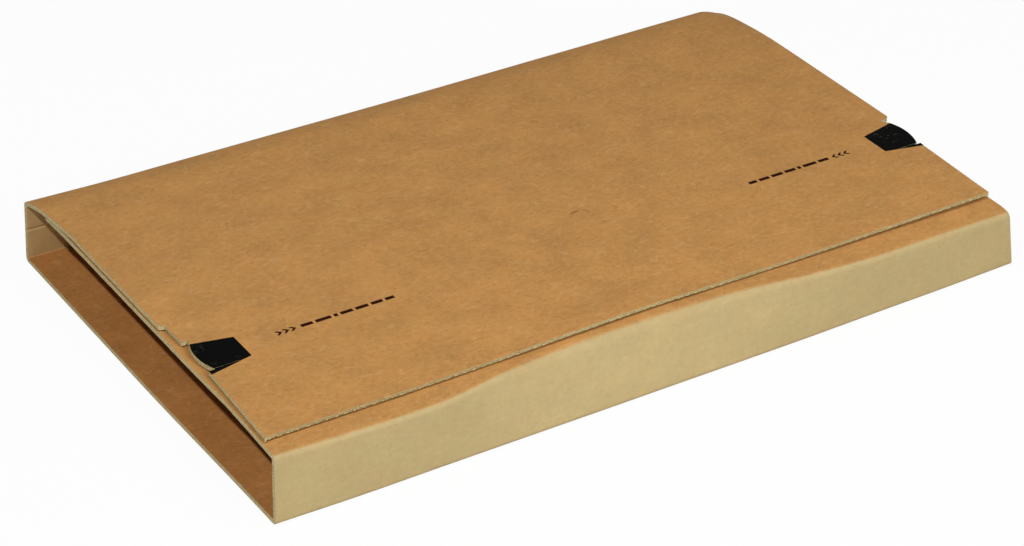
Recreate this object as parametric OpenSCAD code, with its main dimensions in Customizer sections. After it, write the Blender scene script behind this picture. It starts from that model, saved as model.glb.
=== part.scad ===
// Tear-strip wrap mailer, folded from one sheet of fine-flute corrugated card.
// The sheet starts as the inner top panel, turns down over the front fold into the front wall,
// runs under as the bottom, climbs as the rear wall and comes forward over the rear fold as the
// lid. The lid is stuck down on the inner top panel. Both ends of the sleeve stay open.
// X runs along the sleeve, -Y is the front, +Z is up. The origin is the middle of the underside.

/* [Sleeve] */
// Length from open end to open end
sleeve_l = 300; // [240:1:420]
// Depth over the front and rear walls
sleeve_d = 178; // [150:1:300]
// Height from the underside to the inner top panel's upper face
sleeve_h = 24.5; // [16:0.5:80]

/* [Card] */
// Thickness of the corrugated card
card_t = 1.6; // [1.4:0.1:2]
// Inside radius of a creased fold
crease_r = 0.3; // [0.2:0.1:0.6]
// Distance from one flute to the next
flute_pitch = 3.4; // [3:0.1:4]
// Thickness of the outer and inner liner
liner_t = 0.22; // [0.15:0.01:0.25]
// Thickness of the wavy sheet between the liners
medium_t = 0.2; // [0.15:0.01:0.25]
// How far in from a cut edge the flutes are open
flute_depth = 20; // [5:1:20]

/* [Lid] */
// Distance from each open end to the lid's side edge
lid_inset = 2; // [1:0.5:3]
// Length over which the lid's side edges run out to the full width at the rear fold
lid_taper = 32; // [20:1:34]
// Distance from the front wall's outer face back to the lid's front edge
lid_setback = 9; // [3:1:20]
// Distance from each open end to the side edge of the stuck flap in front of the tear strip
flap_inset = 4; // [2:0.5:5]
// Outer radius of the soft roll that takes the lid down to the rear fold
roll_r = 50; // [35:1:70]
// Angle that the soft roll turns through, in degrees
roll_angle = 18; // [12:1:22]
// How far the inner top panel reaches past the start of the soft roll
inner_tail = 4; // [1:0.5:5]
// Distance from each open end to the inner top panel's side edge
panel_inset = 1.7; // [0.5:0.1:2.5]
// Length over which that side edge runs out to the full width at the front fold
panel_taper = 10; // [5:1:20]

/* [Tear strip] */
// Distance from the front wall's outer face back to the tear strip's centre line
tear_setback = 58; // [50:1:70]
// Width of the tear strip and of its two pull tabs
tab_w = 17; // [12:0.5:20]
// Radius of the rounded end of a pull tab
tab_r = 19.5; // [16:0.5:30]
// Distance from an open end to the tip of the pull tab
tab_inset = 3.6; // [2.5:0.1:5]
// Distance from an open end to the bottom of the gaps beside a pull tab
neck_inset = 6.4; // [5.8:0.1:8]
// Width of the gap behind a pull tab
rear_gap = 1.5; // [1:0.1:3]
// Width of the gap in front of a pull tab
front_gap = 0.9; // [0.6:0.1:2]
// Width of the knife slits that free a pull tab
slit_w = 0.4; // [0.3:0.1:0.6]
// Length of the knife slits, measured in from the gaps
slit_l = 10; // [5:0.5:11]
// Length of the trimmed step in the left side edge, just behind its pull tab
nick_l = 12; // [6:1:20]
// Depth of that trimmed step
nick_d = 2.2; // [1:0.1:3]

/* [Tape and adhesive] */
// Thickness of the adhesive strip, which is also the gap between lid and inner top panel
seal_t = 0.6; // [0.3:0.1:0.8]
// Width of the adhesive strip
seal_w = 18; // [8:1:20]
// Distance from the lid's front edge back to the adhesive strip
seal_margin = 7; // [2:1:8]
// Distance from the flap's side edges to the ends of the adhesive strip
seal_end = 8; // [2:1:20]
// Thickness of the tear tape
tape_t = 0.2; // [0.1:0.05:0.25]
// Width of the tear tape
tape_w = 5; // [3:0.5:8]

/* [Print] */
// Thickness of the printed black field, exaggerated so that it is a solid
print_t = 0.1; // [0.05:0.05:0.2]
// Distance from an open end to the wide end of a printed field
print_inset = 2.5; // [1:0.1:3.5]
// Length of a printed field, inward from its wide end
print_l = 17; // [16:0.2:24]
// How far the wide end of a printed field runs past the pull tab onto the stuck flap
print_lap = 3; // [2:0.1:5]
// Width of a printed field at its narrow end
print_in_w = 12.4; // [8:0.2:14]
// How far the narrow end's middle lies in front of the tear strip's centre line
print_shift = 1.8; // [0:0.1:2.5]

/* [Score] */
// Distance from the top of the rear wall down to the spare score line
score_drop = 9.5; // [6:0.5:10]
// Depth of the spare score line
score_depth = 0.35; // [0.2:0.05:0.5]
// Radius of the rule that pressed the score line
score_r = 0.8; // [0.6:0.1:1.2]

/* [Hidden] */
$fn = 64;
bend_steps = 8;
lap = 1;

half_l = sleeve_l / 2;
half_d = sleeve_d / 2;
fold_r = crease_r + card_t;
lid_under_z = sleeve_h + seal_t;
lid_top_z = lid_under_z + card_t;
lid_front_y = -half_d + lid_setback;

// The roll ends tangent to the rear fold, so both share one line at the crease
rear_fold_y = half_d - fold_r;
roll_y = rear_fold_y - (roll_r - fold_r) * sin(roll_angle);
rear_fold_z = lid_top_z - roll_r + (roll_r - fold_r) * cos(roll_angle);
inner_end_y = roll_y + inner_tail;

tear_y = -half_d + tear_setback;
tab_rear_y = tear_y + tab_w / 2;
tab_front_y = tear_y - tab_w / 2;
neck_x = half_l - neck_inset;

// Half the height of the wave, and where the outline of one flute has its corners along the wave
wave_h = (card_t - 2 * liner_t - medium_t) / 2;
flute_top_a = 150;
flute_floor_a = [-80, -27, 27, 80];
flute_half_w = flute_pitch * flute_top_a / 360;

// The sheet in the order it is folded. Each row is a flat run, then a bend's angle and outer radius
sheet = [
    [inner_end_y + half_d - fold_r, 90, fold_r],
    [sleeve_h - 2 * fold_r, 90, fold_r],
    [sleeve_d - 2 * fold_r, 90, fold_r],
    [rear_fold_z - fold_r, 90 - roll_angle, fold_r],
    [0, roll_angle, roll_r],
    [roll_y - lid_front_y, 0, fold_r],
];

function direction(angle) = [cos(angle), sin(angle)];
function heading(i) = i == 0 ? 180 : heading(i - 1) + sheet[i - 1][1];
function run_start(i) = i == 0 ? [inner_end_y, sleeve_h] : on_bend(i - 1, sheet[i - 1][1], 0);
function run_end(i) = run_start(i) + sheet[i][0] * direction(heading(i));
function bend_centre(i) = run_end(i) + sheet[i][2] * direction(heading(i) + 90);
// A point after part of bend i, at a depth below the sheet's outer face
function on_bend(i, angle, depth) =
    bend_centre(i) + (sheet[i][2] - depth) * direction(heading(i) - 90 + angle);
function bend_points(i, depth) = [
    for (k = [sheet[i][0] > 0 ? 0 : 1 : sheet[i][1] > 0 ? bend_steps : 0])
        on_bend(i, sheet[i][1] * k / bend_steps, depth)
];
// One face of the sheet from free edge to free edge
function sheet_face(depth) = [
    run_start(0) + depth * direction(heading(0) + 90),
    for (i = [0 : len(sheet) - 1])
        each bend_points(i, depth)
];
function backwards(points) = [for (k = [len(points) - 1 : -1 : 0]) points[k]];

// Section of the whole folded sheet in the Y-Z plane
module sheet_section() {
    polygon(concat(sheet_face(0), backwards(sheet_face(card_t))));
}

// Turns a section drawn in Y and Z into a solid along X, centred on the origin
module along_x(length) {
    rotate([90, 0, 90])
        linear_extrude(height = length, center = true)
            children();
}

// Section of one flute, open between the liner above and the wave below, about the card's middle
module flute_section() {
    polygon([
        [-flute_half_w, card_t / 2 - liner_t],
        for (a = flute_floor_a)
            [flute_pitch * a / 360, medium_t / 2 - wave_h * cos(a)],
        [flute_half_w, card_t / 2 - liner_t],
    ]);
}

// All the flutes that open at one cut edge, by turns above and below the wave.
// They run from rear_y forward, in a panel that lies between under_z and its upper face.
module open_flutes(half_w, rear_y, under_z) {
    count = floor((half_w - flute_half_w - liner_t) / (flute_pitch / 2));
    for (k = [-count : count])
        translate([k * flute_pitch / 2, rear_y, under_z + card_t / 2])
            rotate([90, 0, 0])
                linear_extrude(height = flute_depth + lap)
                    mirror([0, abs(k) % 2])
                        flute_section();
}

// Plan of one half of the lid, to the right of the centre line
module lid_half_plan() {
    polygon([
        [0, tab_rear_y + rear_gap],
        [half_l - lid_inset, tab_rear_y + rear_gap],
        [half_l - lid_inset, rear_fold_y - lid_taper],
        [half_l, rear_fold_y],
        [half_l, half_d],
        [0, half_d],
    ]);
    translate([0, tab_front_y - front_gap - lap])
        square([neck_x, tab_w + rear_gap + front_gap + 2 * lap]);
    pull_tab_plan();
    translate([0, lid_front_y - lap])
        square([half_l - flap_inset, tab_front_y - front_gap - lid_front_y + lap]);
}

// Rounded pull tab at the right-hand end of the tear strip
module pull_tab_plan() {
    intersection() {
        translate([half_l - tab_inset - tab_r, tear_y])
            circle(r = tab_r);
        translate([neck_x - lap, tab_front_y])
            square([neck_inset + lap, tab_w]);
    }
}

// The two knife slits that run in from the gaps beside the right-hand pull tab
module tab_slits() {
    translate([neck_x - slit_l, tab_rear_y])
        square([slit_l + lap, slit_w]);
    translate([neck_x - slit_l, tab_front_y - slit_w])
        square([slit_l + lap, slit_w]);
}

// Whole plan of the lid, with the trimmed step in its left side edge
module lid_plan() {
    difference() {
        for (side = [0, 1])
            mirror([side, 0])
                difference() {
                    lid_half_plan();
                    tab_slits();
                }
        translate([-half_l, tab_rear_y + rear_gap])
            square([lid_inset + nick_d, nick_l]);
    }
}

// What the die knife takes off the lid: all of the sheet outside the lid's plan.
// In front of the inner top panel's free edge it stays above that panel.
module lid_trim() {
    over_panel_z = sleeve_h + seal_t / 2;
    difference() {
        union() {
            translate([-half_l - lap, lid_front_y - lap, over_panel_z])
                cube([sleeve_l + 2 * lap, rear_fold_y - lid_front_y + lap, card_t + seal_t]);
            translate([-half_l - lap, inner_end_y, sleeve_h - card_t - roll_drop()])
                cube([sleeve_l + 2 * lap, rear_fold_y - inner_end_y, roll_drop() + 2 * card_t]);
        }
        linear_extrude(height = lid_top_z + 2 * card_t)
            lid_plan();
    }
}

function roll_drop() = lid_top_z - rear_fold_z;

// Plan of what the die knife takes off the inner top panel at the right-hand end
module panel_trim_plan() {
    start_y = fold_r - half_d;
    polygon([
        [half_l, start_y],
        [half_l + lap, start_y],
        [half_l + lap, inner_end_y + lap],
        [half_l - panel_inset, inner_end_y + lap],
        [half_l - panel_inset, start_y + panel_taper],
    ]);
}

// The same at both ends, through the inner top panel and clear of the lid over it
module panel_trim() {
    translate([0, 0, sleeve_h - card_t - lap])
        linear_extrude(height = card_t + lap + seal_t / 4)
            for (side = [0, 1])
                mirror([side, 0])
                    panel_trim_plan();
}

// The one sheet, with its flutes open at both free edges and a spare score line in the rear wall
module folded_blank() {
    color([0.72, 0.53, 0.32])
        difference() {
            along_x(sleeve_l)
                sheet_section();
            lid_trim();
            panel_trim();
            open_flutes(half_l - flap_inset, lid_front_y + flute_depth, lid_under_z);
            open_flutes(half_l - panel_inset, inner_end_y + lap, sleeve_h - card_t);
            translate([0, half_d - card_t - score_r + score_depth, rear_fold_z - score_drop])
                rotate([0, 90, 0])
                    cylinder(r = score_r, h = sleeve_l + 2 * lap, center = true);
        }
}

// Tape along the tear strip, stuck to the underside of the lid from neck to neck
module tear_tape() {
    color([0.85, 0.8, 0.68])
        translate([-neck_x, tear_y - tape_w / 2, lid_under_z - tape_t])
            cube([2 * neck_x, tape_w, tape_t]);
}

// Adhesive strip that holds the front flap of the lid down on the inner top panel
module seal_strip() {
    seal_x = half_l - flap_inset - seal_end;
    color([0.9, 0.87, 0.76])
        translate([-seal_x, lid_front_y + seal_margin, sleeve_h])
            cube([2 * seal_x, seal_w, seal_t]);
}

// Plan of the printed field over the right-hand pull tab, wide at the lid's edge
module print_plan() {
    out_x = half_l - print_inset;
    in_y = tear_y - print_shift;
    intersection() {
        polygon([
            [out_x, tab_front_y - print_lap],
            [out_x, tab_rear_y + rear_gap / 2],
            [out_x - print_l, in_y + print_in_w / 2],
            [out_x - print_l, in_y - print_in_w / 2],
        ]);
        lid_plan();
    }
}

// One printed field lying on the lid; side is 1 at the right-hand end and -1 at the left
module tab_print(side) {
    color([0.06, 0.06, 0.06])
        translate([0, 0, lid_top_z])
            linear_extrude(height = print_t)
                mirror([side < 0 ? 1 : 0, 0])
                    print_plan();
}

module left_tab_print() {
    tab_print(-1);
}

module right_tab_print() {
    tab_print(1);
}

folded_blank();
tear_tape();
seal_strip();
left_tab_print();
right_tab_print();
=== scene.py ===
"""Looks of a tear-strip wrap mailer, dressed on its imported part. All lengths are in metres.

The corrugated sheet is cut flat, as a die cuts it, and then folded by one function. Everything
that is printed on the sheet is drawn flat as well and folded by the same function.
"""
import math

import bmesh
import bpy
import numpy as np
from mathutils import Matrix, Vector


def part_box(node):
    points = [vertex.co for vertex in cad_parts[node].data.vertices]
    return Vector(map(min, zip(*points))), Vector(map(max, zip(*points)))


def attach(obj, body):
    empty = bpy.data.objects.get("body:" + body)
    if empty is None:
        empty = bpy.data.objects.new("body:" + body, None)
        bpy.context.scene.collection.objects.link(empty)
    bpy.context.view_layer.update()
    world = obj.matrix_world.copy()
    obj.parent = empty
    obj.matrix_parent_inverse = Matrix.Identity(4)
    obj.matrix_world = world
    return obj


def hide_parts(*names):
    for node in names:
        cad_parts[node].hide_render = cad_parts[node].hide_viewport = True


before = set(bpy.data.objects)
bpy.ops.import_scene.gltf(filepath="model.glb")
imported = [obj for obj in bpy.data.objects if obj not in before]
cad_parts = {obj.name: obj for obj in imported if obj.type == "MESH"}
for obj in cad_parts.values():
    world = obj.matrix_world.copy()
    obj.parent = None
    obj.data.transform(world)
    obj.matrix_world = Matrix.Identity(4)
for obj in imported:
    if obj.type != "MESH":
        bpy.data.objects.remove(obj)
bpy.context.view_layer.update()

MM = 0.001

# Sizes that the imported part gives
BLANK_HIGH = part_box("folded_blank")[1]
SEAL_LOW, SEAL_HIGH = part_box("seal_strip")
TAPE_LOW, TAPE_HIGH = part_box("tear_tape")
HALF_L = BLANK_HIGH.x
HALF_D = BLANK_HIGH.y
INNER_TOP = SEAL_LOW.z
LID_UNDER = SEAL_HIGH.z
LID_TOP = BLANK_HIGH.z
CARD_T = LID_TOP - LID_UNDER
TEAR_Y = (TAPE_LOW.y + TAPE_HIGH.y) / 2
NECK_X = TAPE_HIGH.x

# The card
CREASE_R = 0.3 * MM
FOLD_R = CREASE_R + CARD_T
FLUTE_PITCH = 3.4 * MM
LINER_T = 0.22 * MM
MEDIUM_T = 0.2 * MM
WAVE_H = (CARD_T - 2 * LINER_T - MEDIUM_T) / 2
OPEN_FLUTE = 0.42 * MM
UNDERCUT = 0.5 * MM
CUT_INSET = 0.1 * MM
WAVE_SET_BACK = 0.05 * MM
WAVE_LAP = 0.3 * MM

# The lid's plan
LID_FRONT_Y = -HALF_D + 9 * MM
LID_HALF = HALF_L - 2 * MM
FLAP_HALF = HALF_L - 4 * MM
LID_TAPER = 32 * MM
PANEL_HALF = HALF_L - 1.7 * MM
LEFT_PANEL_TAPER = 32 * MM
RIGHT_PANEL_TAPER = 10 * MM
TAB_W = 17 * MM
TAB_R = 19.5 * MM
TAB_ARC_POINTS = 17
TAB_TIP_X = HALF_L - 3.6 * MM
TAB_REAR_Y = TEAR_Y + TAB_W / 2
TAB_FRONT_Y = TEAR_Y - TAB_W / 2
LEFT_REAR_GAP = 1.5 * MM
RIGHT_REAR_GAP = 2.9 * MM
FRONT_GAP = 0.6 * MM
SLIT_W = 0.1 * MM
SLIT_L = 10 * MM
NICK_L = 12 * MM
NICK_D = 2.2 * MM
TOOTH_PITCH = 1.25 * MM
TOOTH_DEPTH = 0.22 * MM
SCORE_BELOW_FOLD = 9.5 * MM
SCORE_DEPTH = 0.3 * MM
SCORE_W = 0.7 * MM

# The plan's small roundings
NICK_SLOPE = 0.6 * MM
NICK_SOFT_R = 0.8 * MM
LEFT_GAP_CORNER_R = 0.7 * MM
RIGHT_GAP_CORNER_R = 2.0 * MM
FLAP_CORNER_R = 0.5 * MM
FRONT_CORNER_R = 0.8 * MM

# The printed fields over the pull tabs. Film heights are over the card's outer face.
PRINT_INSET = 2.5 * MM
PRINT_L = 17 * MM
PRINT_IN_HALF = 6.2 * MM
PRINT_SHIFT = 1.8 * MM
PRINT_REAR_LAP = 0.75 * MM
PRINT_FRONT_LAP = 3 * MM
PRINT_RIM = 0.03 * MM
FILM_TOP = 0.03 * MM
FILM_FOOT = -0.01 * MM

# The chevrons and dashes along the tear strip
MARK_FROM_END = 32.4 * MM
MARK_SHIFT = 1.1 * MM
CHEVRON_HALF_H = 1.2 * MM
CHEVRON_STEP = 2.6 * MM
CHEVRON_DEPTH = 1.5 * MM
CHEVRON_STROKE = 1.0 * MM
CHEVRON_TIP_STROKE = 1.25 * MM
DASH_LENGTHS = (4.4 * MM, 5.8 * MM, 1.4 * MM, 4.6 * MM, 4.8 * MM, 4.4 * MM, 3.4 * MM)
DASH_H = 1.6 * MM
DASH_GAP = 1.1 * MM
DASH_START_GAP = 0.6 * MM

# How far the right and left pull tabs and their print sit from where the plan puts them
RIGHT_TAB_SHIFT = Vector((0.3 * MM, 0.5 * MM))
LEFT_TAB_SHIFT = Vector((-0.6 * MM, 0.0))
LEFT_MARK_SHIFT = 1.25 * MM
RIGHT_MARK_SHIFT = 0.3 * MM
RIGHT_TAB_LIFT = 0.5 * MM
LEFT_TAB_LIFT = 0.15 * MM
TAB_FRONT_LIFT_SHARE = 0.15

# The soft roll down to the rear fold
ROLL_R = 50 * MM
ROLL_ANGLE = math.radians(18)
ROLL_Y = HALF_D - FOLD_R - (ROLL_R - FOLD_R) * math.sin(ROLL_ANGLE)
REAR_FOLD_Z = LID_TOP - ROLL_R + (ROLL_R - FOLD_R) * math.cos(ROLL_ANGLE)
INNER_END_Y = ROLL_Y + 4 * MM

# How the real sheet departs from its nominal folds. The rows hold millimetres, a step apart along x.
CURVE_STEP = 30 * MM
FRONT_SETBACK = (0.4, -1.0, -1.2, 2.8, 5.1, 5.0, 3.3, -0.2, -1.2, 0.0, 0.2)
FOOT_FORWARD = (2.3, 3.0, 3.0, 3.15, 3.3, 3.3, 3.3, 3.15, 2.7, 2.4, 1.7)
LID_FORWARD = (1.0, 1.1, 1.1, 0.7, -0.1, -0.6, 0.0, 0.4, 0.3, 0.1, 0.0)
REAR_FORWARD = (-0.2, 0.85, 0.85, 0.85, 0.85, 0.8, 0.5, 0.1, -0.25, -0.65, -0.9)
FRONT_SOFT_R = 3.5 * MM
END_DROP = 2.7 * MM
END_DROP_FROM_X = 40 * MM
SLOPE_RUN = 16 * MM
LEFT_FLAP_SKEW = 2.0 * MM
RIGHT_FLAP_SKEW = 1.5 * MM
RIGHT_LID_OUT = 0.9 * MM
RIGHT_FOOT_OUT = 1.0 * MM
RIGHT_TOP_IN = 2.3 * MM
LEFT_TOP_IN = 1.0 * MM
LEFT_FOOT_OUT = 0.3 * MM
LEFT_REAR_FOOT_OUT = 1.25 * MM
LEFT_REAR_TOP_OUT = 0.45 * MM
CORNER_DROOP = 3.4 * MM

# Where each departure starts and where it is full. The front ones are measured forward.
FRONT_REACH = (30 * MM, HALF_D)
NEAR_FRONT_REACH = (20 * MM, 60 * MM)
REAR_REACH = (40 * MM, HALF_D)
FAR_REAR_REACH = (58 * MM, 84 * MM)
DROOP_REACH_X = (140.5 * MM, 153.5 * MM)
DROOP_REACH_Y = (50 * MM, 82 * MM)
LEFT_FOOT_REACH = (-85 * MM, 0.0)
LID_REACH = 4 * MM

# The grid that the fold is worked out on, and how widely its bends are eased
GRID_MARGIN = 6 * MM
GRID_COLUMNS = 157
GRID_ROWS = 2801
CREASE_SPREAD = 1.3
SOFT_SPREAD = 1.2
SLOPE_EASE = 8 * MM
SOFTEST_SETBACK = 5 * MM

# The share of facing forward at which a liner starts to get its painted front light, a paler colour that
# stands in for the light from the front, and at which it gets it fully
FRONT_LIGHT_FACING = (0.2, 0.65)

# The lid's shallow dents, shown only as painted shade. Each row has the middle's x and y, the half length
# and the half width in millimetres, the turn in degrees, and how much darker the painted shade makes the
# middle.
LID_DENT_SHADES = (
    (9.4, -17.3, 3.7, 0.95, 12, 0.36),
    (13.8, -19.0, 2.8, 0.6, -69, 0.22),
    (15.1, -27.5, 2.5, 0.45, -42, 0.26),
    (14.6, -28.6, 2.6, 0.45, -37, 0.26),
    (24.0, -21.2, 1.8, 0.6, -67, 0.3),
)
DENT_HALF_HEIGHT = 3.0 * MM

# The camera of the photograph
CAMERA_FROM = Vector((-0.4888, -0.72088, 0.54609))
CAMERA_TARGET = Vector((-0.01786, -0.02035, 0.012))
CAMERA_ROLL = math.radians(1.985)
CAMERA_LENS = 101.34
CAMERA_SENSOR = 36

# The lamps: where each one stands, its width and its power in watts
LAMPS = (
    ("key", (-0.745, -0.4, 1.1), 0.05, 10.0),
    ("top", (0.35, -0.45, 0.95), 0.9, 3.4),
    ("front", (0, -0.62, 0.44), 0.3, 2.6),
)
WORLD_LIGHT = 0.06
FLOOR_GLOW = 0.95
FLOOR_DROP = 0.2 * MM


def smooth(u):
    """Eases from 0 to 1 as u goes from 0 to 1."""
    u = np.clip(u, 0, 1)
    return u * u * (3 - 2 * u)


def eased(value, start, end):
    """Eases from 0 to 1 as value goes from start to end."""
    return smooth((value - start) / (end - start))


def curve(x, values):
    """A smooth curve along x through values in millimetres that lie a step apart."""
    heights = np.array(values) * MM
    slopes = np.gradient(heights)
    u = np.clip(x / CURVE_STEP + (len(values) - 1) / 2, 0, len(values) - 1.001)
    k = u.astype(int)
    f = u - k
    between_ends = heights[k] + (heights[k + 1] - heights[k]) * smooth(f)
    return between_ends + slopes[k] * f * (1 - f) ** 2 - slopes[k + 1] * f**2 * (1 - f)


# Each row is a flat run, then the turn and the outer radius of the bend that ends it
QUARTER = math.pi / 2
SHEET_RUNS = [
    (INNER_END_Y + HALF_D - FOLD_R, QUARTER, FOLD_R),
    (INNER_TOP - 2 * FOLD_R, QUARTER, FOLD_R),
    (2 * HALF_D - 2 * FOLD_R, QUARTER, FOLD_R),
    (REAR_FOLD_Z - FOLD_R, QUARTER - ROLL_ANGLE, FOLD_R),
    (0.0, ROLL_ANGLE, ROLL_R),
    (ROLL_Y - LID_FRONT_Y, 0.0, 0.0),
]


def bend_places():
    """The middle and the length of each bend along the flat sheet, and the sheet's whole length."""
    along = 0.0
    places = []
    for run, turn, radius in SHEET_RUNS:
        arc = turn * radius
        places.append((along + run + arc / 2, arc))
        along += run + arc
    return places[:-1], along


BENDS, SHEET_END = bend_places()
FRONT_TOP, FRONT_FOOT, REAR_FOOT, REAR_TOP, ROLL = BENDS
ROLL_END = ROLL[0] + ROLL[1] / 2
BOTTOM_MIDDLE = (FRONT_FOOT[0] + REAR_FOOT[0]) / 2
SCORE_S = REAR_TOP[0] - REAR_TOP[1] / 2 - SCORE_BELOW_FOLD


def lid_s(y):
    """The place along the flat sheet of a line at depth y on the lid's flat part."""
    return ROLL_END + ROLL_Y - y


def lid_y(s):
    """The depth of a line across the lid's flat part from its place along the flat sheet."""
    return ROLL_END + ROLL_Y - s


def turned(s, middle, width):
    """How much of a bend's turn is done at s."""
    return smooth((s - middle) / width + 0.5)


def fold_grid():
    """The folded outer face: its y, z and heading on a grid of x and s, by adding up the turns."""
    xs = np.linspace(-HALF_L - GRID_MARGIN, HALF_L + GRID_MARGIN, GRID_COLUMNS)
    ss = np.linspace(0, SHEET_END, GRID_ROWS)
    x, s = np.meshgrid(xs, ss, indexing="ij")
    setback = curve(x, FRONT_SETBACK)
    softness = np.clip(setback / SOFTEST_SETBACK, 0, 1)
    lean = np.arcsin(setback / (INNER_TOP - CARD_T))
    drop = END_DROP * eased(x, END_DROP_FROM_X, HALF_L)
    slope = np.arcsin(drop / SLOPE_RUN)
    front_top = FRONT_TOP[0] + drop
    front_width = SOFT_SPREAD * FRONT_TOP[1] * (1 + (FRONT_SOFT_R / FOLD_R - 1) * softness)
    slope_start = FRONT_TOP[0] - SLOPE_RUN
    heading = (
        -(QUARTER + lean) * (1 - turned(s, FRONT_FOOT[0], CREASE_SPREAD * FRONT_FOOT[1]))
        - (QUARTER - lean - slope) * (1 - turned(s, front_top, front_width))
        - slope * (1 - turned(s, slope_start, SLOPE_EASE))
        + QUARTER * turned(s, REAR_FOOT[0], CREASE_SPREAD * REAR_FOOT[1])
        + (QUARTER - ROLL_ANGLE) * turned(s, REAR_TOP[0], CREASE_SPREAD * REAR_TOP[1])
        + ROLL_ANGLE * turned(s, ROLL[0], SOFT_SPREAD * ROLL[1])
    )
    step = ss[1] - ss[0]
    y = np.zeros_like(s)
    z = np.zeros_like(s)
    y[:, 1:] = np.cumsum((np.cos(heading[:, 1:]) + np.cos(heading[:, :-1])) / 2, axis=1) * step
    z[:, 1:] = np.cumsum((np.sin(heading[:, 1:]) + np.sin(heading[:, :-1])) / 2, axis=1) * step
    anchor = int(round(BOTTOM_MIDDLE / step))
    y -= y[:, anchor : anchor + 1]
    z -= z[:, anchor : anchor + 1]
    # The lid and the inner panel keep the part's heights and ends, whatever the folds take up
    lid = turned(s, ROLL[0], SOFT_SPREAD * ROLL[1])
    z += (LID_TOP - z[:, -1:]) * lid
    y += (LID_FRONT_Y - y[:, -1:]) * lid
    inner = 1 - s / slope_start
    y += (INNER_END_Y - y[:, :1]) * np.clip(inner, 0, 1)
    z += (INNER_TOP - z[:, :1]) * (1 - turned(s, slope_start, SLOPE_EASE))
    return xs, ss, y, z, heading


GRID_X, GRID_S, GRID_Y, GRID_Z, GRID_HEADING = fold_grid()


def on_grid(table, x, s):
    """Reads a table of the fold grid between its points."""
    i = np.clip((x - GRID_X[0]) / (GRID_X[1] - GRID_X[0]), 0, len(GRID_X) - 1.001)
    j = np.clip((s - GRID_S[0]) / (GRID_S[1] - GRID_S[0]), 0, len(GRID_S) - 1.001)
    i0 = i.astype(int)
    j0 = j.astype(int)
    fi = i - i0
    fj = j - j0
    near = table[i0, j0] * (1 - fj) + table[i0, j0 + 1] * fj
    far = table[i0 + 1, j0] * (1 - fj) + table[i0 + 1, j0 + 1] * fj
    return near * (1 - fi) + far * fi


def fold(flat):
    """Folds flat points (x, s, height over the outer face) and returns their places and headings."""
    x, s, height = flat[:, 0], flat[:, 1], flat[:, 2]
    heading = on_grid(GRID_HEADING, x, s)
    score = SCORE_DEPTH * np.exp(-(((s - SCORE_S) / SCORE_W) ** 2) * 3)
    height = np.where(height < -CARD_T / 2, height + score, height)
    y = on_grid(GRID_Y, x, s) + height * np.sin(heading)
    z = on_grid(GRID_Z, x, s) - height * np.cos(heading)
    x, y, z = departed(x, y, z, s)
    z = z + tab_lift(flat[:, 0], s)
    return np.stack([x, y, z], axis=1), heading


def departed(x, y, z, s):
    """Moves folded places by what the real sheet's edges and corners depart from straight."""
    left = eased(-x, 0, HALF_L)
    right = eased(x, 0, HALF_L)
    low = np.clip(1 - z / INNER_TOP, 0, 1)
    high = 1 - low
    front = eased(-y, *FRONT_REACH)
    near_front = eased(-y, *NEAR_FRONT_REACH)
    rear = eased(y, *REAR_REACH)
    far_rear = eased(y, *FAR_REAR_REACH)
    on_lid = eased(s, REAR_TOP[0], REAR_TOP[0] + LID_REACH)
    flap = np.clip((TAB_FRONT_Y - y) / (TAB_FRONT_Y - LID_FRONT_Y), 0, 1)
    forward = curve(x, FOOT_FORWARD) * front * low
    forward += curve(x, LID_FORWARD) * flap**2 * on_lid
    forward += curve(x, REAR_FORWARD) * rear * high
    left_foot = LEFT_FOOT_OUT + (LEFT_REAR_FOOT_OUT - LEFT_FOOT_OUT) * eased(y, *LEFT_FOOT_REACH)
    body = RIGHT_FOOT_OUT * low * right * front - left_foot * left * low
    body += (LEFT_TOP_IN * left * front - RIGHT_TOP_IN * right * near_front) * high
    skew = LEFT_FLAP_SKEW + (RIGHT_FLAP_SKEW - LEFT_FLAP_SKEW) * right
    lid = RIGHT_LID_OUT * right * (1 - 0.5 * rear) - skew * flap
    sideways = body * (1 - on_lid) + lid * on_lid - LEFT_REAR_TOP_OUT * left * far_rear * high
    droop = CORNER_DROOP * eased(x, *DROOP_REACH_X) * eased(y, *DROOP_REACH_Y) * high
    return x + sideways, y - forward, z - droop


def tab_lift(x, s):
    """How far the free ends of the pull tabs stand up from the lid."""
    from_front = (lid_y(s) - TAB_FRONT_Y) / TAB_W
    on_tab = (from_front > -1e-4) & (from_front < 1 + 1e-4)
    out = np.clip((np.abs(x) - NECK_X + SLIT_L) / (TAB_TIP_X - NECK_X + SLIT_L), 0, 1.2)
    tilt = TAB_FRONT_LIFT_SHARE + (1 - TAB_FRONT_LIFT_SHARE) * np.clip(from_front, 0, 1)
    return np.where(x > 0, RIGHT_TAB_LIFT, LEFT_TAB_LIFT) * on_tab * out**2 * tilt


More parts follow.
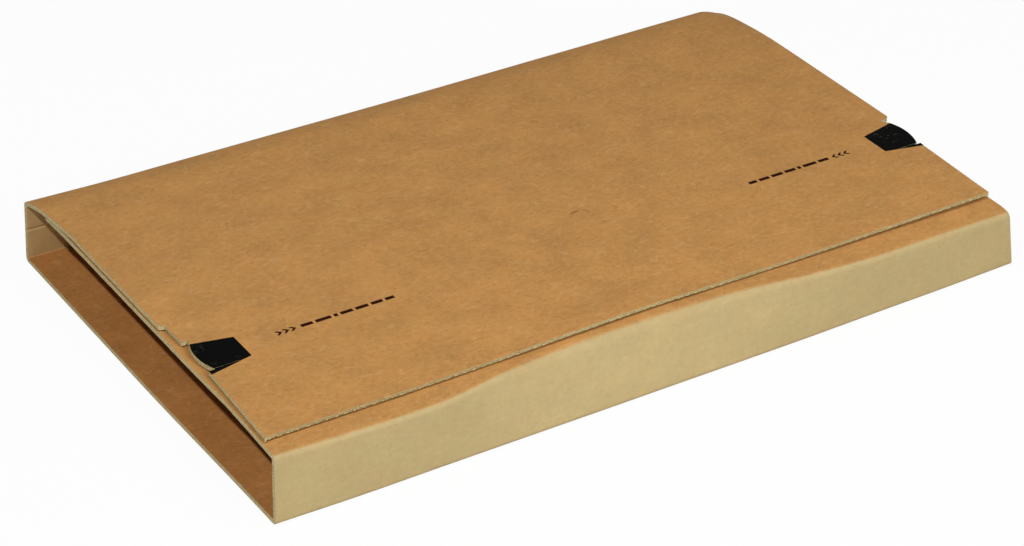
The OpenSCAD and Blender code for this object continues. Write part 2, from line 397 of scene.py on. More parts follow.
def flat_cuts():
    """Lines along and across the flat sheet that let it bend: close at the bends, wide elsewhere."""
    spacing = 6 * MM
    lines = set(np.arange(spacing, SHEET_END, spacing).round(6))
    # Each zone has its middle, how far it reaches to each side and how close its lines lie
    zones = [
        (FRONT_TOP[0], 8 * MM, 0.5 * MM),
        (FRONT_FOOT[0], 3 * MM, 0.4 * MM),
        (REAR_FOOT[0], 3 * MM, 0.4 * MM),
        (SCORE_S, 1.2 * MM, 0.2 * MM),
        (REAR_TOP[0], 3 * MM, 0.4 * MM),
        (ROLL[0], ROLL[1] * 0.6, 1 * MM),
    ]
    for middle, reach, step in zones:
        lines = {line for line in lines if abs(line - middle) > reach}
        lines |= set(np.arange(middle - reach, middle + reach, step).round(6))
    wide_step = 5 * MM
    close_step = 1.5 * MM
    close_from = HALF_L - 12 * MM
    wide = np.arange(-HALF_L + wide_step, close_from - close_step, wide_step)
    close = np.arange(close_from, HALF_L - 1 * MM, close_step)
    return sorted(lines), list(np.concatenate([wide, close]).round(6))


def inset_corner(before, corner, after, inset_before, inset_after):
    """The corner of an outline moved inward by its own distance from each of its two edges."""
    first = (corner - before).normalized()
    second = (after - corner).normalized()
    n1 = Vector((-first.y, first.x))
    n2 = Vector((-second.y, second.x))
    cross = n1.x * n2.y - n1.y * n2.x
    if abs(cross) < 0.05:
        return corner + n1 * inset_before
    shift_x = (inset_before * n2.y - inset_after * n1.y) / cross
    shift_y = (inset_after * n1.x - inset_before * n2.x) / cross
    return corner + Vector((shift_x, shift_y))


def inset_outline(outline, insets):
    """An outline with each of its edges moved inward by its own distance."""
    count = len(outline)
    moved = []
    for k in range(count):
        after = outline[(k + 1) % count]
        moved.append(inset_corner(outline[k - 1], outline[k], after, insets[k - 1], insets[k]))
    return moved


def rounded(before, corner, after, radius, steps=5):
    """Points that round a corner of an outline."""
    start = corner + (before - corner).normalized() * radius
    end = corner + (after - corner).normalized() * radius
    points = []
    for k in range(steps + 1):
        u = k / steps
        points.append(start * (1 - u) ** 2 + corner * 2 * u * (1 - u) + end * u**2)
    return points


def toothed(start, end, side=1):
    """A zigzag cut from start to end with its teeth cut in on one side, as the die leaves it."""
    along = end - start
    inward = Vector((along.y, -along.x)).normalized() * TOOTH_DEPTH * side
    count = round(along.length / TOOTH_PITCH)
    points = []
    for k in range(count):
        points.append(start + along * k / count)
        points.append(start + along * (k + 0.5) / count + inward)
    return points + [end]


def tab_arc(reach):
    """The rounded end of a right-hand pull tab that reaches further out, from rear to front."""
    half_angle = math.asin(TAB_W / 2 / TAB_R)
    angles = np.linspace(half_angle, -half_angle, TAB_ARC_POINTS)
    centre_x = TAB_TIP_X + reach - TAB_R
    return [Vector((centre_x + TAB_R * math.cos(a), TEAR_Y + TAB_R * math.sin(a))) for a in angles]


def lid_side(nick, reach, rear_gap, corner_r):
    """The lid's right-hand edge in x and y, from the end of its taper to the front corner."""
    gap_y = TAB_REAR_Y + rear_gap
    edge_x = LID_HALF
    points = [Vector((LID_HALF, HALF_D - FOLD_R - LID_TAPER))]
    if nick:
        step_y = gap_y + NICK_L
        edge_x = LID_HALF - NICK_D
        outer = Vector((LID_HALF, step_y))
        inner = Vector((edge_x, step_y - NICK_SLOPE))
        points += rounded(points[-1], outer, inner, NICK_SOFT_R)
        points += rounded(outer, inner, Vector((edge_x, gap_y)), NICK_SOFT_R)
    corner = Vector((edge_x, gap_y))
    points += rounded(points[-1], corner, Vector((NECK_X, gap_y)), corner_r)
    points += [
        Vector((NECK_X, gap_y)),
        Vector((NECK_X, TAB_REAR_Y + SLIT_W)),
        Vector((NECK_X - SLIT_L, TAB_REAR_Y + SLIT_W)),
        Vector((NECK_X - SLIT_L, TAB_REAR_Y)),
    ]
    points += tab_arc(reach)
    flap_y = TAB_FRONT_Y - FRONT_GAP
    points += [
        Vector((NECK_X - SLIT_L, TAB_FRONT_Y)),
        Vector((NECK_X - SLIT_L, TAB_FRONT_Y - SLIT_W)),
        Vector((NECK_X, TAB_FRONT_Y - SLIT_W)),
        Vector((NECK_X, flap_y)),
    ]
    flap_corner = Vector((FLAP_HALF, flap_y))
    front_corner = Vector((FLAP_HALF, LID_FRONT_Y))
    points += rounded(points[-1], flap_corner, front_corner, FLAP_CORNER_R)[:-1]
    teeth_start = flap_corner - Vector((0, FLAP_CORNER_R))
    teeth_end = front_corner + Vector((0, FRONT_CORNER_R))
    points += toothed(teeth_start, teeth_end)
    inward = front_corner - Vector((FRONT_CORNER_R, 0))
    points += rounded(teeth_end, front_corner, inward, FRONT_CORNER_R)[1:]
    return points


def sheet_outline():
    """The flat blank's outline in x and s, anticlockwise, with each edge's two insets."""
    shoulder = REAR_TOP[0] + REAR_TOP[1] / 2
    fold_start = FRONT_TOP[0] - FRONT_TOP[1] / 2
    folds = [(HALF_L, fold_start), (HALF_L, shoulder)]
    right_side = lid_side(False, RIGHT_TAB_SHIFT.x, RIGHT_REAR_GAP, RIGHT_GAP_CORNER_R)
    left_side = lid_side(True, LEFT_TAB_SHIFT.x, LEFT_REAR_GAP, LEFT_GAP_CORNER_R)
    right = [(PANEL_HALF, 0.0), (PANEL_HALF, fold_start - RIGHT_PANEL_TAPER)] + folds
    right += [(p.x, lid_s(p.y)) for p in right_side]
    left = [(PANEL_HALF, 0.0), (PANEL_HALF, fold_start - LEFT_PANEL_TAPER)] + folds
    left += [(p.x, lid_s(p.y)) for p in left_side]
    front_end = FLAP_HALF - FRONT_CORNER_R
    front = toothed(Vector((front_end, SHEET_END)), Vector((-front_end, SHEET_END)), -1)[1:-1]
    outline = [Vector(p) for p in right] + front + [Vector((-x, s)) for x, s in reversed(left)]
    first_open = len(right) - 1
    open_edges = set(range(first_open, first_open + len(front) + 1)) | {len(outline) - 1}
    insets = [OPEN_FLUTE if k in open_edges else CUT_INSET for k in range(len(outline))]
    undercuts = [UNDERCUT if k in open_edges else 0.0 for k in range(len(outline))]
    return outline, insets, undercuts


def ring_faces(bm, lower, upper, slot):
    """A band of faces between two rings of points."""
    for k in range(len(lower)):
        after = (k + 1) % len(lower)
        face = bm.faces.new((lower[k], lower[after], upper[after], upper[k]))
        face.material_index = slot


def flat_blank():
    """The die-cut sheet, flat: two liners that overhang a core set back from every cut edge."""
    outline, insets, undercuts = sheet_outline()
    core = inset_outline(outline, insets)
    under = inset_outline(outline, undercuts)
    levels = [
        (outline, 0.0),
        (outline, -LINER_T),
        (core, -LINER_T),
        (core, -CARD_T + LINER_T),
        (under, -CARD_T + LINER_T),
        (under, -CARD_T),
    ]
    bm = bmesh.new()
    rings = [[bm.verts.new((p.x, p.y, height)) for p in points] for points, height in levels]
    outer = bm.faces.new(rings[0])
    outer.material_index = 0
    inner = bm.faces.new(list(reversed(rings[-1])))
    inner.material_index = 1
    for lower, upper in zip(rings[1:], rings[:-1]):
        ring_faces(bm, lower, upper, 2)
    along, across = flat_cuts()
    for line in along:
        cut_flat(bm, Vector((0, line, 0)), Vector((0, 1, 0)))
    for line in across:
        cut_flat(bm, Vector((line, 0, 0)), Vector((1, 0, 0)))
    many_sided = [face for face in bm.faces if len(face.verts) > 4]
    bmesh.ops.triangulate(bm, faces=many_sided)
    return bm


def cut_flat(bm, place, normal):
    """Cuts every face of the flat sheet along a plane, and keeps both sides."""
    geometry = list(bm.verts) + list(bm.edges) + list(bm.faces)
    bmesh.ops.bisect_plane(bm, geom=geometry, dist=1e-7, plane_co=place, plane_no=normal)


def flat_strip(bm, points, top, bottom):
    """A flat plate with the given outline in x and s, between two heights over the outer face."""
    upper = [bm.verts.new((p[0], p[1], top)) for p in points]
    lower = [bm.verts.new((p[0], p[1], bottom)) for p in points]
    bm.faces.new(upper)
    bm.faces.new(list(reversed(lower)))
    ring_faces(bm, lower, upper, 0)


def wave_ribbon(bm, half_w, edge_s, inward):
    """The wavy middle sheet at one free edge, from the cut edge inward as far as it can be seen."""
    per_flute = 12
    count = int(2 * (half_w - CUT_INSET) / FLUTE_PITCH * per_flute)
    rows = [edge_s + inward * (TOOTH_DEPTH + WAVE_SET_BACK), edge_s + inward * (OPEN_FLUTE + WAVE_LAP)]
    grid = {}
    for k in range(count + 1):
        x = (k - count / 2) * FLUTE_PITCH / per_flute
        height = -CARD_T / 2 + WAVE_H * math.cos(2 * math.pi * x / FLUTE_PITCH)
        for r, s in enumerate(rows):
            for side in (0, 1):
                grid[k, r, side] = bm.verts.new((x, s, height + (side - 0.5) * MEDIUM_T))
    first, second = (0, 1) if inward > 0 else (1, 0)
    for k in range(count):
        for side in (0, 1):
            a, b = (k, k + 1) if side else (k + 1, k)
            corners = ((a, first), (b, first), (b, second), (a, second))
            bm.faces.new([grid[i, r, side] for i, r in corners])
        outer = ((k, 0), (k + 1, 0), (k + 1, 1), (k, 1))
        bm.faces.new([grid[i, first, side] for i, side in outer])
        bm.faces.new([grid[i, second, side] for i, side in reversed(outer)])
    for k in (0, count):
        a, b = (second, first) if k == 0 else (first, second)
        bm.faces.new((grid[k, a, 0], grid[k, b, 0], grid[k, b, 1], grid[k, a, 1]))


def folded_piece(name, bm, materials, smooth_angle=35):
    """Folds a flat mesh, makes it an object and marks how much painted front light each point gets, more
    where it faces forward.
    """
    bm.verts.ensure_lookup_table()
    flat = np.array([v.co for v in bm.verts], float)
    places, heading = fold(flat)
    for vert, place in zip(bm.verts, places):
        vert.co = place
    mesh = bpy.data.meshes.new(name)
    bm.to_mesh(mesh)
    bm.free()
    # Painted light: points that face forward are marked to get a paler colour, which stands in for the light
    # from the front
    facing = np.where(flat[:, 2] > -CARD_T / 2, -np.sin(heading), np.sin(heading))
    painted_front_light = mesh.attributes.new("painted_front_light", "FLOAT", "POINT")
    painted_front_light.data.foreach_set("value", eased(facing, *FRONT_LIGHT_FACING).astype(np.float32))
    for material in materials:
        mesh.materials.append(material)
    mesh.polygons.foreach_set("use_smooth", [True] * len(mesh.polygons))
    mesh.set_sharp_from_angle(angle=math.radians(smooth_angle))
    piece = bpy.data.objects.new(name, mesh)
    bpy.context.scene.collection.objects.link(piece)
    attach(piece, "root")
    return piece


def new_group(name, inputs, outputs):
    """An empty shader node group with named sockets, and its input and output nodes."""
    group = bpy.data.node_groups.new(name, "ShaderNodeTree")
    for socket, kind, value in inputs:
        made = group.interface.new_socket(name=socket, in_out="INPUT", socket_type=kind)
        made.default_value = value
    for socket, kind in outputs:
        group.interface.new_socket(name=socket, in_out="OUTPUT", socket_type=kind)
    return group, group.nodes.new("NodeGroupInput"), group.nodes.new("NodeGroupOutput")


def node(tree, kind, inputs=None, **settings):
    """A node with its settings and its unlinked or linked inputs."""
    made = tree.nodes.new(kind)
    for key, value in settings.items():
        setattr(made, key, value)
    for key, value in (inputs or {}).items():
        if isinstance(value, bpy.types.NodeSocket):
            tree.links.new(value, made.inputs[key])
        else:
            made.inputs[key].default_value = value
    return made


def noise_at(tree, coordinates, stretch, detail, roughness=0.55):
    """A noise with its own scale along x, y and z, in features per metre."""
    mapping = node(tree, "ShaderNodeMapping", {"Vector": coordinates, "Scale": stretch})
    texture = node(
        tree,
        "ShaderNodeTexNoise",
        {"Vector": mapping.outputs[0], "Scale": 1.0, "Detail": detail, "Roughness": roughness},
    )
    return texture.outputs[0]


def math_node(tree, operation, first, second=0.0):
    """The result of one sum or comparison."""
    return node(tree, "ShaderNodeMath", {0: first, 1: second}, operation=operation).outputs[0]


def mix_colour(tree, factor, first, second, blend="MIX"):
    """Two colours mixed or multiplied by a factor."""
    made = node(tree, "ShaderNodeMix", data_type="RGBA", blend_type=blend)
    for socket, value in ((0, factor), (6, first), (7, second)):
        if isinstance(value, bpy.types.NodeSocket):
            tree.links.new(value, made.inputs[socket])
        else:
            made.inputs[socket].default_value = value
    return made.outputs[2]


def between(tree, value, low, high):
    """A mask that goes from 0 to 1 as value goes from low to high."""
    return node(
        tree,
        "ShaderNodeMapRange",
        {"Value": value, "From Min": low, "From Max": high, "To Min": 0.0, "To Max": 1.0},
        interpolation_type="SMOOTHSTEP",
    ).outputs[0]


def scaled_swing(tree, value, amount):
    """A value around a half turned into a swing around zero of the given amount."""
    return math_node(tree, "MULTIPLY", math_node(tree, "SUBTRACT", value, 0.5), amount)


def hair_lines(tree, coordinates, size, width, patches):
    """Short curly hairs: thin lines where a noise crosses its middle, kept only in patches."""
    noise = noise_at(tree, coordinates, (size * 0.7, size, size), 0.0)
    off_line = math_node(tree, "ABSOLUTE", math_node(tree, "SUBTRACT", noise, 0.5))
    on_line = math_node(tree, "SUBTRACT", 1.0, between(tree, off_line, width * 0.3, width))
    patch = noise_at(tree, coordinates, (patches, patches * 1.4, patches), 1.0)
    return math_node(tree, "MULTIPLY", on_line, between(tree, patch, 0.44, 0.58))


def fibre_group():
    """Paper: soft clouds and blotches, streaks along the sheet, curly hairs and a few flecks."""
    group, given, made = new_group(
        "Paper fibres",
        [
            ("Paper Colour", "NodeSocketColor", (0.5, 0.25, 0.1, 1)),
            ("Fleck Colour", "NodeSocketColor", (0.2, 0.08, 0.03, 1)),
            ("Streaks", "NodeSocketFloat", 0.3),
            ("Mottling", "NodeSocketFloat", 0.15),
            ("Hairs", "NodeSocketFloat", 0.5),
            ("Flecks", "NodeSocketFloat", 0.5),
        ],
        [("Colour", "NodeSocketColor"), ("Height", "NodeSocketFloat"), ("Fibre", "NodeSocketFloat")],
    )
    coordinates = node(group, "ShaderNodeTexCoord").outputs["Object"]
    long_fibres = noise_at(group, coordinates, (260, 1200, 1200), 3.0, 0.6)
    fine_fibres = noise_at(group, coordinates, (900, 2400, 2400), 2.0, 0.6)
    streak = node(group, "ShaderNodeMix", {0: 0.4, 2: long_fibres, 3: fine_fibres}).outputs[0]
    blotches = noise_at(group, coordinates, (420, 520, 520), 3.0, 0.6)
    clouds = noise_at(group, coordinates, (60, 80, 80), 3.0, 0.5)
    mottle = node(group, "ShaderNodeMix", {0: 0.5, 2: blotches, 3: clouds}).outputs[0]
    level = math_node(group, "ADD", scaled_swing(group, streak, given.outputs["Streaks"]), 1.0)
    level = math_node(group, "ADD", level, scaled_swing(group, mottle, given.outputs["Mottling"]))
    level_colour = node(group, "ShaderNodeCombineColor", {0: level, 1: level, 2: level}).outputs[0]
    paper = mix_colour(group, 1.0, given.outputs["Paper Colour"], level_colour, "MULTIPLY")
    warm = noise_at(group, coordinates, (90, 110, 110), 2.0, 0.5)
    warmer = mix_colour(group, 1.0, paper, (1.015, 0.985, 0.97, 1), "MULTIPLY")
    paper = mix_colour(group, between(group, warm, 0.4, 0.65), paper, warmer)
    lighter = mix_colour(group, 0.13, paper, (0.9, 0.68, 0.4, 1))
    darker = mix_colour(group, 0.24, paper, given.outputs["Fleck Colour"])
    light_hairs = hair_lines(group, coordinates, 330, 0.06, 240)
    light_hairs = math_node(group, "MULTIPLY", light_hairs, given.outputs["Hairs"])
    aside = {0: coordinates, 1: (0.37, 0.21, 0.11)}
    shifted = node(group, "ShaderNodeVectorMath", aside, operation="ADD").outputs[0]
    dark_hairs = hair_lines(group, shifted, 380, 0.05, 260)
    dark_hairs = math_node(group, "MULTIPLY", dark_hairs, given.outputs["Hairs"])
    paper = mix_colour(group, light_hairs, paper, lighter)
    paper = mix_colour(group, dark_hairs, paper, darker)
    fleck_noise = noise_at(group, coordinates, (700, 1300, 1300), 1.0, 0.4)
    dark = math_node(group, "MULTIPLY", between(group, fleck_noise, 0.7, 0.8), given.outputs["Flecks"])
    paper = mix_colour(group, dark, paper, given.outputs["Fleck Colour"])
    group.links.new(paper, made.inputs["Colour"])
    group.links.new(streak, made.inputs["Height"])
    group.links.new(mottle, made.inputs["Fibre"])
    return group


def washboard_group():
    """The faint ribs that the flutes press through the liner, one to a flute."""
    group, given, made = new_group(
        "Flute ribs",
        [("Pitch", "NodeSocketFloat", FLUTE_PITCH)],
        [("Rib", "NodeSocketFloat")],
    )
    coordinates = node(group, "ShaderNodeTexCoord").outputs["Object"]
    x = node(group, "ShaderNodeSeparateXYZ", {0: coordinates}).outputs[0]
    turns = math_node(group, "DIVIDE", x, given.outputs["Pitch"])
    wave = math_node(group, "COSINE", math_node(group, "MULTIPLY", turns, 2 * math.pi))
    rib = math_node(group, "ADD", math_node(group, "MULTIPLY", wave, 0.5), 0.5)
    group.links.new(rib, made.inputs["Rib"])
    return group


def new_material(name):
    """A material with one Principled shader, its tree and that shader."""
    material = bpy.data.materials.new(name)
    material.use_nodes = True
    tree = material.node_tree
    return material, tree, tree.nodes["Principled BSDF"]


def grouped(tree, group, inputs):
    """A copy of a shader node group with its inputs linked or set."""
    made = node(tree, "ShaderNodeGroup", node_tree=group)
    for key, value in inputs.items():
        if isinstance(value, bpy.types.NodeSocket):
            tree.links.new(value, made.inputs[key])
        else:
            made.inputs[key].default_value = value
    return made


def srgb(red, green, blue):
    """A colour as a paint chart gives it, from 0 to 255, for a shader."""
    def linear(value):
        value /= 255
        return value / 12.92 if value <= 0.04045 else ((value + 0.055) / 1.055) ** 2.4
    return (linear(red), linear(green), linear(blue), 1)


def liner_material(name, top_colour, front_lit_colour, fleck_colour, rib_height):
    """Kraft liner: fibrous, with the flutes' faint ribs, and made paler by painted front light where it
    faces forward.
    """
    material, tree, shader = new_material(name)
    painted_front_light = node(tree, "ShaderNodeAttribute", attribute_name="painted_front_light").outputs["Fac"]
    # Painted light: the paper is mixed towards a paler, front-lit colour where it faces forward
    paper = mix_colour(tree, painted_front_light, top_colour, front_lit_colour)
    # Where the painted front light is, the fibres show less
    texture_share = math_node(tree, "SUBTRACT", 1.0, math_node(tree, "MULTIPLY", painted_front_light, 0.6))
    settings = {"Streaks": 0.42, "Mottling": 0.9, "Hairs": 0.5, "Flecks": 0.5}
    amounts = {key: math_node(tree, "MULTIPLY", texture_share, value) for key, value in settings.items()}
    fibres = grouped(tree, FIBRES, {"Paper Colour": paper, "Fleck Colour": fleck_colour, **amounts})
    ribs = grouped(tree, RIBS, {"Pitch": FLUTE_PITCH})
    fine = node(
        tree,
        "ShaderNodeBump",
        {"Height": fibres.outputs["Height"], "Distance": 0.06 * MM, "Strength": 0.55},
    )
    coarse = node(
        tree,
        "ShaderNodeBump",
        {"Height": ribs.outputs["Rib"], "Distance": rib_height, "Strength": 1.0, "Normal": fine.outputs[0]},
    )
    tree.links.new(fibres.outputs["Colour"], shader.inputs["Base Color"])
    tree.links.new(coarse.outputs[0], shader.inputs["Normal"])
    roughness = math_node(tree, "ADD", math_node(tree, "MULTIPLY", fibres.outputs["Fibre"], 0.2), 0.66)
    tree.links.new(roughness, shader.inputs["Roughness"])
    shader.inputs["Specular IOR Level"].default_value = 0.2
    return material


def add_painted_dent_shade(material, dents):
    """Shallow dents in the lid, as soft ovals of painted shade, darkest in the middle."""
    tree = material.node_tree
    shader = tree.nodes["Principled BSDF"]
    coordinates = node(tree, "ShaderNodeTexCoord").outputs["Object"]
    paper = shader.inputs["Base Color"].links[0].from_socket
    for x, y, half_length, half_width, turn, depth in dents:
        from_middle = {0: coordinates, 1: (x * MM, y * MM, LID_TOP)}
        aside = node(tree, "ShaderNodeVectorMath", from_middle, operation="SUBTRACT").outputs[0]
        turning = {"Vector": aside, "Angle": -math.radians(turn)}
        along = node(tree, "ShaderNodeVectorRotate", turning).outputs[0]
        share = {0: along, 1: (half_length * MM, half_width * MM, DENT_HALF_HEIGHT)}
        oval = node(tree, "ShaderNodeVectorMath", share, operation="DIVIDE").outputs[0]
        off = node(tree, "ShaderNodeVectorMath", {0: oval}, operation="LENGTH").outputs["Value"]
        mask = math_node(tree, "SUBTRACT", 1.0, between(tree, off, 0.2, 1.0))
        # Painted shade: the middle of each dent is darkened and made warmer, as shade in a hollow
        shade = (1.0 - depth, 1.0 - depth * 1.15, 1.0 - depth * 1.3, 1)
        shaded = mix_colour(tree, 1.0, paper, shade, "MULTIPLY")
        paper = mix_colour(tree, mask, paper, shaded)
    tree.links.new(paper, shader.inputs["Base Color"])


def cut_paper_group():
    """Cut paper: torn-looking, with fine specks of two colours."""
    group, given, made = new_group(
        "Cut paper",
        [("Light", "NodeSocketColor", (0.8, 0.7, 0.5, 1)), ("Dark", "NodeSocketColor", (0.5, 0.4, 0.2, 1))],
        [("Colour", "NodeSocketColor"), ("Height", "NodeSocketFloat")],
    )
    coordinates = node(group, "ShaderNodeTexCoord").outputs["Object"]
    specks = noise_at(group, coordinates, (1600, 1600, 1600), 3.0, 0.7)
    mask = between(group, specks, 0.38, 0.62)
    paper = mix_colour(group, mask, given.outputs["Dark"], given.outputs["Light"])
    group.links.new(paper, made.inputs["Colour"])
    group.links.new(specks, made.inputs["Height"])
    return group


def worn_print_group():
    """Printed ink: two families of short scratches, in patches, and the fibres under the ink."""
    group, given, made = new_group(
        "Worn print",
        [
            ("Ink", "NodeSocketColor", (0.01, 0.01, 0.01, 1)),
            ("Worn", "NodeSocketColor", (0.2, 0.15, 0.1, 1)),
            ("Wear", "NodeSocketFloat", 0.6),
        ],
        [("Colour", "NodeSocketColor"), ("Fibre", "NodeSocketFloat")],
    )
    coordinates = node(group, "ShaderNodeTexCoord").outputs["Object"]
    scratch_a = noise_at(group, coordinates, (350, 2600, 900), 2.0, 0.5)
    scratch_b = noise_at(group, coordinates, (2100, 420, 900), 2.0, 0.5)
    patches = noise_at(group, coordinates, (160, 160, 160), 1.0, 0.5)
    first = between(group, scratch_a, 0.64, 0.74)
    second = between(group, scratch_b, 0.66, 0.76)
    lines = math_node(group, "MAXIMUM", first, second)
    worn = math_node(group, "MULTIPLY", lines, between(group, patches, 0.48, 0.62))
    worn = math_node(group, "MULTIPLY", worn, given.outputs["Wear"])
    ink = mix_colour(group, worn, given.outputs["Ink"], given.outputs["Worn"])
    group.links.new(ink, made.inputs["Colour"])
    group.links.new(noise_at(group, coordinates, (400, 1800, 1800), 2.0, 0.6), made.inputs["Fibre"])
    return group


def film_group():
    """Thin plastic or hot-melt: two tones in streaks along its length."""
    group, given, made = new_group(
        "Streaked film",
        [("Film", "NodeSocketColor", (0.8, 0.7, 0.5, 1)), ("Streak", "NodeSocketColor", (0.6, 0.5, 0.3, 1))],
        [("Colour", "NodeSocketColor"), ("Streaks", "NodeSocketFloat")],
    )
    coordinates = node(group, "ShaderNodeTexCoord").outputs["Object"]
    streaks = noise_at(group, coordinates, (40, 900, 900), 2.0, 0.5)
    film = mix_colour(group, streaks, given.outputs["Film"], given.outputs["Streak"])
    group.links.new(film, made.inputs["Colour"])
    group.links.new(streaks, made.inputs["Streaks"])
    return group


def cut_edge_material(name, light_colour, dark_colour):
    """The cut edge of the sheet and its wavy middle."""
    material, tree, shader = new_material(name)
    paper = grouped(tree, CUT_FIBRES, {"Light": light_colour, "Dark": dark_colour})
    height = {"Height": paper.outputs["Height"], "Distance": 0.08 * MM, "Strength": 0.8}
    bump = node(tree, "ShaderNodeBump", height)
    tree.links.new(paper.outputs["Colour"], shader.inputs["Base Color"])
    tree.links.new(bump.outputs[0], shader.inputs["Normal"])
    shader.inputs["Roughness"].default_value = 0.9
    shader.inputs["Specular IOR Level"].default_value = 0.2
    return material


def ink_material(name, ink_colour, worn_colour, roughness, wear):
    """Printed ink: smooth over the fibres, with small scratches where the card shows through."""
    material, tree, shader = new_material(name)
    ink = grouped(tree, WORN_PRINT, {"Ink": ink_colour, "Worn": worn_colour, "Wear": wear})
    fibre = ink.outputs["Fibre"]
    rough = math_node(tree, "ADD", math_node(tree, "MULTIPLY", fibre, 0.25), roughness)
    bump = node(tree, "ShaderNodeBump", {"Height": fibre, "Distance": 0.04 * MM, "Strength": 0.4})
    tree.links.new(ink.outputs["Colour"], shader.inputs["Base Color"])
    tree.links.new(rough, shader.inputs["Roughness"])
    tree.links.new(bump.outputs[0], shader.inputs["Normal"])
    shader.inputs["Specular IOR Level"].default_value = 0.01
    return material


def film_material(name, colour, streak_colour, roughness):
    """Thin plastic tape or hot-melt: cream, slightly streaked along its length."""
    material, tree, shader = new_material(name)
    film = grouped(tree, FILM_STREAKS, {"Film": colour, "Streak": streak_colour})
    rough = math_node(tree, "ADD", math_node(tree, "MULTIPLY", film.outputs["Streaks"], 0.2), roughness)
    tree.links.new(film.outputs["Colour"], shader.inputs["Base Color"])
    tree.links.new(rough, shader.inputs["Roughness"])
    return material


def plate(bm, points):
    """A printed shape given in x and lid depth y, as a film of ink just over the lid."""
    sheet_points = [(x, lid_s(y)) for x, y in points]
    area = sum(a[0] * b[1] - b[0] * a[1] for a, b in zip(sheet_points, sheet_points[1:] + sheet_points[:1]))
    if area < 0:
        sheet_points.reverse()
    flat_strip(bm, sheet_points, FILM_TOP, FILM_FOOT)


def tab_print_outlines(shift):
    """A right-hand printed field in its two parts: on the pull tab, and on the flap's corner."""
    out_x = HALF_L - PRINT_INSET + shift.x
    in_x = out_x - PRINT_L
    middle = TEAR_Y - PRINT_SHIFT + shift.y
    rear = (Vector((in_x, middle + PRINT_IN_HALF)), Vector((out_x, TAB_REAR_Y + PRINT_REAR_LAP)))
    front = (Vector((in_x, middle - PRINT_IN_HALF)), Vector((out_x, TAB_FRONT_Y - PRINT_FRONT_LAP)))

    def on_line(line, x):
        u = (x - line[0].x) / (line[1].x - line[0].x)
        return line[0].y + u * (line[1].y - line[0].y)

    def across_line(line, y):
        u = (y - line[0].y) / (line[1].y - line[0].y)
        return line[0].x + u * (line[1].x - line[0].x)

    arc = [(p.x - PRINT_RIM, p.y) for p in tab_arc(shift.x) if p.y < on_line(rear, p.x)]
    slit_y = TAB_FRONT_Y - SLIT_W
    on_tab = [(in_x, rear[0].y)] + arc
    on_tab += [(across_line(front, TAB_FRONT_Y), TAB_FRONT_Y), (in_x, front[0].y)]
    flap_y = TAB_FRONT_Y - FRONT_GAP - PRINT_RIM
    flap_x = FLAP_HALF - PRINT_RIM
    neck_x = NECK_X - PRINT_RIM
    on_flap = [(across_line(front, slit_y), slit_y), (neck_x, slit_y), (neck_x, flap_y)]
    on_flap += [(flap_x, flap_y), (flap_x, on_line(front, flap_x))]
    return on_tab, on_flap


def print_mark_plates(bm, side):
    """Three chevrons that point along the tear strip, then a row of plain dashes."""
    base_y = TEAR_Y - MARK_SHIFT
    start = HALF_L - MARK_FROM_END
    shift = LEFT_MARK_SHIFT if side < 0 else RIGHT_MARK_SHIFT
    for k in range(3):
        x = start - k * CHEVRON_STEP
        tip = x - CHEVRON_DEPTH
        chevron = [
            (x, base_y + CHEVRON_HALF_H),
            (tip, base_y),
            (x, base_y - CHEVRON_HALF_H),
            (x + CHEVRON_STROKE, base_y - CHEVRON_HALF_H),
            (tip + CHEVRON_TIP_STROKE, base_y),
            (x + CHEVRON_STROKE, base_y + CHEVRON_HALF_H),
        ]
        plate(bm, [(side * px + shift, py) for px, py in chevron])
    right = start - 3 * CHEVRON_STEP - DASH_START_GAP
    for length in DASH_LENGTHS:
        left = right - length
        top = base_y + DASH_H / 2
        foot = base_y - DASH_H / 2
        dash = ((left, top), (right, top), (right, foot), (left, foot))
        plate(bm, [(side * px + shift, py) for px, py in dash])
        right = left - DASH_GAP


def build_card():
    """The folded sheet with its liners, and the wavy sheet that shows at its free edges."""
    sheet = folded_piece("card_liners", flat_blank(), [OUTER_KRAFT, INNER_KRAFT, CUT_PAPER])
    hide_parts("folded_blank")
    wave = bmesh.new()
    wave_ribbon(wave, FLAP_HALF, SHEET_END, -1)
    wave_ribbon(wave, PANEL_HALF, 0.0, 1)
    folded_piece("card_flutes", wave, [FLUTE_PAPER])


def build_prints():
    """The black fields over the pull tabs, and the marks along the tear strip."""
    for side, place, shift in ((-1, "left", LEFT_TAB_SHIFT), (1, "right", RIGHT_TAB_SHIFT)):
        field = bmesh.new()
        for outline in tab_print_outlines(shift):
            plate(field, [(side * x, y) for x, y in outline])
        piece = folded_piece(place + "_tab_ink", field, [BLACK_INK])
        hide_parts(place + "_tab_print")
        marks = bmesh.new()
        print_mark_plates(marks, side)
        folded_piece(place + "_tear_marks", marks, [MARK_INK])


def dress_cad_nodes():
    """The tape and the adhesive keep their solids and get their own finishes."""
    for name, material in (("tear_tape", TAPE_FILM), ("seal_strip", ADHESIVE)):
        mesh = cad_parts[name].data
        mesh.materials.clear()
        mesh.materials.append(material)


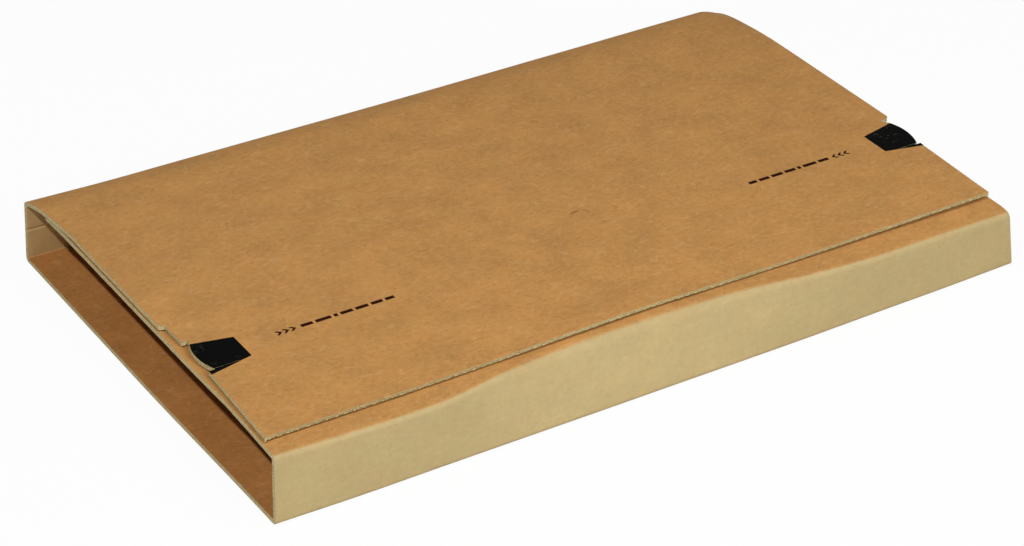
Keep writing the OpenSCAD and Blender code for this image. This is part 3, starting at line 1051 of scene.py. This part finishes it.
def add_camera():
    """The photograph's camera: where it stands, where it looks and its slight roll."""
    view = (CAMERA_TARGET - CAMERA_FROM).normalized()
    level = view.cross(Vector((0, 0, 1))).normalized()
    upright = level.cross(view)
    right = level * math.cos(CAMERA_ROLL) + upright * math.sin(CAMERA_ROLL)
    up = upright * math.cos(CAMERA_ROLL) - level * math.sin(CAMERA_ROLL)
    data = bpy.data.cameras.new("camera")
    data.lens = CAMERA_LENS
    data.sensor_width = CAMERA_SENSOR
    data.clip_start = 0.01
    camera = bpy.data.objects.new("camera", data)
    camera.matrix_world = Matrix.Translation(CAMERA_FROM) @ Matrix((right, up, -view)).transposed().to_4x4()
    bpy.context.scene.collection.objects.link(camera)
    bpy.context.scene.camera = camera


def add_area_light(name, place, size, power):
    """A round lamp that faces the middle of the part."""
    data = bpy.data.lights.new(name, "AREA")
    data.shape = "DISK"
    data.size = size
    data.energy = power
    light = bpy.data.objects.new(name, data)
    light.location = place
    light.rotation_euler = (-Vector(place)).to_track_quat("-Z", "Y").to_euler()
    bpy.context.scene.collection.objects.link(light)


def seen_directly(tree):
    """A mask of what the camera sees straight away, in a reflection or through glass."""
    path = node(tree, "ShaderNodeLightPath").outputs
    seen = math_node(tree, "MAXIMUM", path["Is Camera Ray"], path["Is Glossy Ray"])
    return math_node(tree, "MAXIMUM", seen, path["Is Transmission Ray"])


def add_stage():
    """A plain white floor that keeps a faint shadow, soft lamps and a white world."""
    reach = 6.0
    corners = [(-reach, -reach, 0), (reach, -reach, 0), (reach, reach, 0), (-reach, reach, 0)]
    mesh = bpy.data.meshes.new("floor")
    mesh.from_pydata(corners, [], [(0, 1, 2, 3)])
    floor = bpy.data.objects.new("floor", mesh)
    floor.location.z = -FLOOR_DROP
    bpy.context.scene.collection.objects.link(floor)
    material, tree, shader = new_material("white_floor")
    shader.inputs["Base Color"].default_value = (0.7, 0.7, 0.7, 1)
    shader.inputs["Roughness"].default_value = 0.9
    share = math_node(tree, "MULTIPLY", seen_directly(tree), FLOOR_GLOW)
    glow = node(tree, "ShaderNodeEmission", {"Color": (1, 1, 1, 1), "Strength": 1.0})
    mixed = node(tree, "ShaderNodeMixShader", {0: share, 1: shader.outputs[0], 2: glow.outputs[0]})
    tree.links.new(mixed.outputs[0], tree.nodes["Material Output"].inputs["Surface"])
    mesh.materials.append(material)
    world = bpy.data.worlds.new("studio")
    world.use_nodes = True
    tree = world.node_tree
    seen = {"Value": seen_directly(tree), "To Min": WORLD_LIGHT, "To Max": 1.0}
    lit = node(tree, "ShaderNodeMapRange", seen)
    background = tree.nodes["Background"]
    background.inputs["Color"].default_value = (1, 1, 1, 1)
    tree.links.new(lit.outputs[0], background.inputs["Strength"])
    bpy.context.scene.world = world
    for name, place, size, power in LAMPS:
        add_area_light(name, place, size, power)


add_camera()
FIBRES = fibre_group()
RIBS = washboard_group()
CUT_FIBRES = cut_paper_group()
WORN_PRINT = worn_print_group()
FILM_STREAKS = film_group()
DARK_FLECKS = srgb(120, 72, 36)
# Each liner's second colour is painted front light: the paper as it looks when lit from the front
OUTER_KRAFT = liner_material("outer_kraft", srgb(177, 130, 73), srgb(177, 157, 111), DARK_FLECKS, 0.01 * MM)
add_painted_dent_shade(OUTER_KRAFT, LID_DENT_SHADES)
INNER_KRAFT = liner_material("inner_kraft", srgb(172, 118, 63), srgb(204, 172, 118), DARK_FLECKS, 0.02 * MM)
CUT_PAPER = cut_edge_material("cut_paper", srgb(208, 192, 148), srgb(176, 160, 112))
FLUTE_PAPER = cut_edge_material("flute_paper", srgb(216, 210, 158), srgb(180, 172, 118))
BLACK_INK = ink_material("black_ink", srgb(5, 6, 5), srgb(120, 105, 85), 0.45, 0.7)
MARK_INK = ink_material("mark_ink", srgb(44, 20, 12), srgb(150, 100, 60), 0.6, 0.8)
TAPE_FILM = film_material("tape_film", srgb(222, 208, 176), srgb(200, 180, 140), 0.3)
ADHESIVE = film_material("adhesive", srgb(228, 220, 190), srgb(206, 192, 150), 0.5)

build_card()
build_prints()
dress_cad_nodes()
add_stage()
bpy.context.scene.view_settings.view_transform = "Standard"
